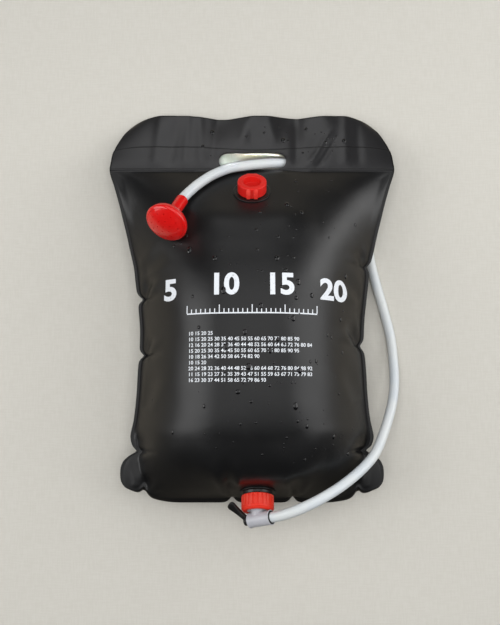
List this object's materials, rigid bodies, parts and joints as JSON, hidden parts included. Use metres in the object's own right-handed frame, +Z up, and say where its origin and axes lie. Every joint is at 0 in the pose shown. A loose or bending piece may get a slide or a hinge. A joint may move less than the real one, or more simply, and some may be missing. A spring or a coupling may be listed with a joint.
{
  "type": "camp shower bag",
  "caption": "Filled two-sheet vinyl shower bag lying on its back, with carrying slot, screwed fill cap, lever tap under a union nut, hose and round shower head.",
  "frame": {"origin": "in the plane the filled bag lies on, in the middle of the flat patch of its back", "axes": "+Z up out of the bag's printed front, +Y along the bag from the tap end to the carrying slot, +X to the right as seen from above with the slot away"},
  "size_m": [0.4164, 0.5908, 0.1709],
  "materials": {
    "black_vinyl_sheet": "black PVC sheet with a satin face",
    "black_port_plastic": "moulded black PVC",
    "black_rubber": "moulded black rubber",
    "red_cap_plastic": "moulded red plastic, slightly glossy",
    "red_nut_plastic": "moulded red plastic, ribbed",
    "red_head_plastic": "moulded red plastic, glossy",
    "white_tap_plastic": "moulded milky white plastic",
    "black_lever_plastic": "moulded black plastic",
    "white_hose_vinyl": "milky soft vinyl hose"
  },
  "bodies": {
    "bag": {"front_panel": "black_vinyl_sheet", "back_panel": "black_vinyl_sheet", "handle_strip": "black_vinyl_sheet", "fill_port": "black_port_plastic", "outlet_port": "black_port_plastic", "hose": "white_hose_vinyl"},
    "cap_seal": {"fill_gasket": "black_rubber"},
    "cap": {"fill_cap": "red_cap_plastic"},
    "tap": {"tap_body": "white_tap_plastic", "outlet_gasket": "black_rubber", "hose_grommet": "black_rubber"},
    "nut": {"outlet_nut": "red_nut_plastic"},
    "lever": {"tap_lever": "black_lever_plastic", "tap_plug": "white_tap_plastic", "tap_o_ring_1": "black_rubber", "tap_o_ring_2": "black_rubber"},
    "head": {"shower_head_body": "red_head_plastic", "shower_head_rose": "red_head_plastic"}
  },
  "joints": [
    {"name": "fill_cap_lift", "type": "slide", "parent": "bag", "child": "cap_seal", "axis": [0, 0.6664, 0.7456], "range_m": [0, 0.012]},
    {"name": "fill_cap_turn", "type": "hinge", "parent": "cap_seal", "child": "cap", "pos_m": [0, 0.19753, 0.09128], "axis": [0, 0.6664, 0.7456], "range_deg": [0, 720]},
    {"name": "tap_release", "type": "slide", "parent": "bag", "child": "tap", "axis": [0, -0.9336, 0.3584], "range_m": [0, 0.009]},
    {"name": "nut_turn", "type": "hinge", "parent": "tap", "child": "nut", "pos_m": [0.0074, -0.21192, 0.08633], "axis": [0, -0.9336, 0.3584], "range_deg": [0, 1080]},
    {"name": "lever_turn", "type": "hinge", "parent": "tap", "child": "lever", "pos_m": [0.0074, -0.2473, 0.09991], "axis": [0.8387, 0.1952, 0.5085], "range_deg": [0, 90]},
    {"name": "head_swivel", "type": "hinge", "parent": "bag", "child": "head", "pos_m": [-0.1147, 0.1407, 0.14455], "axis": [-0.3483, -0.7302, 0.5878], "continuous": true}
  ],
  "couplings": [
    {"joint": "fill_cap_lift", "follows": "fill_cap_turn", "m_per_rad": 0.00095493},
    {"joint": "tap_release", "follows": "nut_turn", "m_per_rad": 0.00047746}
  ]
}
